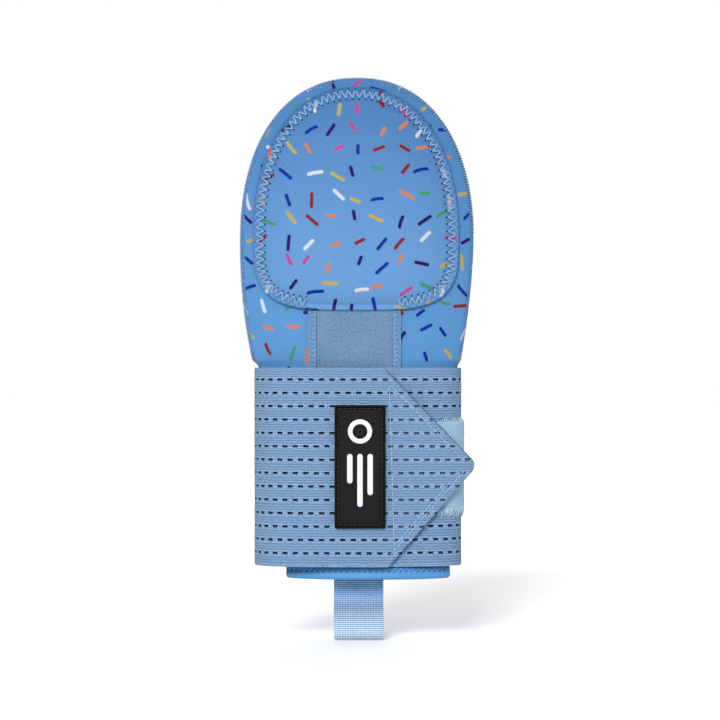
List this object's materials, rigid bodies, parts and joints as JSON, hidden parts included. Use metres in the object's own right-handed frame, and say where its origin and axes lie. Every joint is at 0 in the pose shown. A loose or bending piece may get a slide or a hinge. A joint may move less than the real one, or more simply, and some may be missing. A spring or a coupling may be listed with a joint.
{
  "type": "sliding mitt",
  "caption": "Padded sports sliding mitt: round-ended hand shell with stitched pads and guard plates, slotted elastic wrist strap with a pointed hook tip, rubber patch and webbing pull tab.",
  "frame": {"origin": "middle of the wrist opening between the two shells, level with the lower edge of the cuff", "axes": "+Z along the hand to the fingertips, -Y out of the back of the hand where the patch and the front pad are, +Y out of the palm, +X towards the pointed strap tip"},
  "size_m": [0.123, 0.0498, 0.2934],
  "materials": {
    "printed_neoprene": "smooth knit face on neoprene, sky blue with scattered short coloured strokes",
    "lining_cloth": "brushed tricot lining",
    "stretch_knit": "fine matt stretch knit, grey blue",
    "thread": "pale blue polyester sewing thread",
    "edge_thread": "sky blue overlock thread",
    "foam": "closed-cell foam",
    "guard_plastic": "flexible polyethylene sheet",
    "cuff_neoprene": "plain bright blue neoprene binding",
    "elastic": "wide ribbed elastic with rows of small slots, denim blue",
    "loop_cloth": "brushed loop cloth, pale sky blue",
    "webbing": "ribbed polypropylene webbing, periwinkle blue",
    "black_rubber": "moulded soft rubber, satin black",
    "white_rubber": "moulded soft rubber, white",
    "black_thread": "black polyester thread",
    "hook_tape": "nylon hook tape, blue"
  },
  "bodies": {
    "mitt": {"front_shell": "printed_neoprene", "palm_shell": "printed_neoprene", "front_lining": "lining_cloth", "palm_lining": "lining_cloth", "stretch_insert": "stretch_knit", "insert_binding_left": "thread", "insert_binding_right": "thread", "front_pad_cover": "printed_neoprene", "front_pad_foam": "foam", "front_guard_plate": "guard_plastic", "palm_pad_cover": "printed_neoprene", "palm_pad_foam": "foam", "palm_guard_plate": "guard_plastic", "front_pad_stitching": "thread", "palm_pad_stitching": "thread", "edge_stitching": "edge_thread", "cuff_binding": "cuff_neoprene", "cuff_stitching": "thread", "wrist_strap": "elastic", "strap_anchor_stitching": "thread", "loop_panel": "loop_cloth", "loop_panel_stitching": "thread", "tab_anchor": "webbing", "tab_anchor_stitching": "thread"},
    "flap": {"strap_flap": "elastic", "rubber_patch": "black_rubber", "patch_emblem": "white_rubber", "patch_stitching": "black_thread"},
    "tip": {"strap_tip": "elastic", "hook_patch": "hook_tape", "tip_stitching": "thread"},
    "tab": {"pull_tab": "webbing"}
  },
  "joints": [
    {"name": "strap_peel", "type": "hinge", "parent": "mitt", "child": "flap", "pos_m": [-0.05335, -0.0003, 0.058], "axis": [0, 0, -1], "range_deg": [0, 140]},
    {"name": "tip_lift", "type": "hinge", "parent": "flap", "child": "tip", "pos_m": [0.0158, -0.0245, 0.058], "axis": [0, 0, -1], "range_deg": [0, 100]},
    {"name": "tab_swing", "type": "hinge", "parent": "mitt", "child": "tab", "pos_m": [0.0009, 0.00814, -0.0022], "axis": [1, 0, 0], "range_deg": [-70, 70]}
  ]
}
